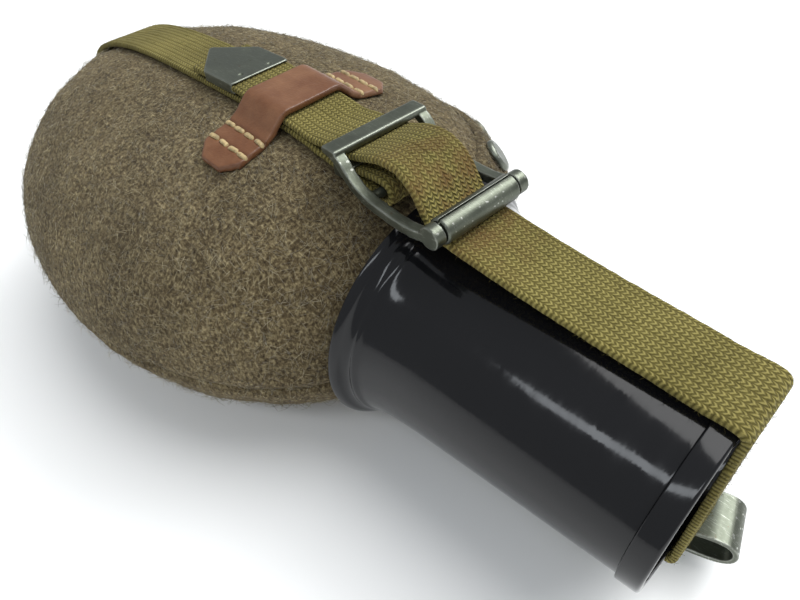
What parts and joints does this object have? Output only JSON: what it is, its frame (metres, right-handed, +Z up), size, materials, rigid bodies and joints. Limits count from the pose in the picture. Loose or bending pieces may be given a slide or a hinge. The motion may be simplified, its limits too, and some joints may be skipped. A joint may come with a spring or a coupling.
{
  "type": "canteen",
  "caption": "Felt-covered oval field canteen lying on its back, black drinking cup inverted over the neck, held by a web strap with roller buckle, leather keeper and snap hook",
  "frame": {"origin": "on the resting plane, below the middle of the felt-covered bottle, in the middle of the strap's flat run", "axes": "+X along the bottle from foot to cup, +Y across the bottle's width, +Z up out of the front face"},
  "size_m": [0.2995, 0.1562, 0.097],
  "materials": {
    "felt": "matt woollen felt, heathered brown-grey with short loose fibres",
    "felt_flap": "matt woollen felt, cut edge",
    "aluminium": "satin spun aluminium",
    "black_plastic": "moulded black, ribbed grip",
    "seal_rubber": "soft matt sealing disc",
    "black_enamel": "gloss black stoved enamel on thin metal",
    "webbing": "coarse olive-khaki ribbed cotton webbing",
    "steel": "grey-green worn blackened steel",
    "dark_steel": "dark painted steel, worn at the edges",
    "leather": "chestnut vegetable-tanned leather, worn",
    "thread": "thick waxed cream linen thread",
    "stud_metal": "grey-green painted press stud"
  },
  "bodies": {
    "canteen": {"felt_front": "felt", "felt_back": "felt", "closing_flap": "felt_flap", "stud_caps": "stud_metal", "stud_posts": "dark_steel", "stud_sockets": "dark_steel", "bottle_front": "aluminium", "bottle_back": "aluminium", "bottle_neck": "aluminium", "neck_collar": "aluminium", "neck_thread": "aluminium", "cup": "black_enamel", "cup_base": "black_enamel", "strap": "webbing", "strap_tip": "steel", "strap_clamp": "steel", "clamp_rivets": "dark_steel", "buckle_frame": "steel", "keeper_front": "leather", "keeper_front_stitches": "thread", "keeper_back": "leather", "keeper_back_stitches": "thread", "hook_rivet": "steel", "rear_tail": "webbing", "rear_tip": "dark_steel"},
    "roller": {"buckle_roller": "steel"},
    "prong": {"buckle_prong": "steel"},
    "hook": {"snap_hook": "steel", "gate_mount": "steel"},
    "gate": {"hook_gate": "steel"},
    "seal": {"cap_seal": "seal_rubber"},
    "cap": {"screw_cap": "black_plastic"}
  },
  "joints": [
    {"name": "roller_spin", "type": "hinge", "parent": "canteen", "child": "roller", "pos_m": [0.10447, -0.00118, 0.0871], "axis": [0.0523, 0.9986, 0], "continuous": true},
    {"name": "prong_pivot", "type": "hinge", "parent": "canteen", "child": "prong", "pos_m": [0.082, 0, 0.086], "axis": [0.0523, 0.9986, 0], "range_deg": [-10, 0]},
    {"name": "hook_swing", "type": "hinge", "parent": "canteen", "child": "hook", "pos_m": [0.13, -0.003, 0.01085], "axis": [-0.1323, 0, 0.9912], "range_deg": [-30, 12]},
    {"name": "gate_pivot", "type": "hinge", "parent": "hook", "child": "gate", "pos_m": [0.14375, 0.00086, 0.00956], "axis": [0.2732, -0.9613, 0.0365], "range_deg": [0, 12], "stiffness_Nm_per_rad": 0.02, "springref_deg": -8.59},
    {"name": "cap_lift", "type": "slide", "parent": "canteen", "child": "seal", "axis": [1, 0, 0], "range_m": [0, 0.0121]},
    {"name": "cap_turn", "type": "hinge", "parent": "seal", "child": "cap", "pos_m": [0.11, 0, 0.045], "axis": [1, 0, 0], "range_deg": [0, 1080]}
  ],
  "couplings": [
    {"joint": "cap_lift", "follows": "cap_turn", "m_per_rad": 0.00063662}
  ]
}
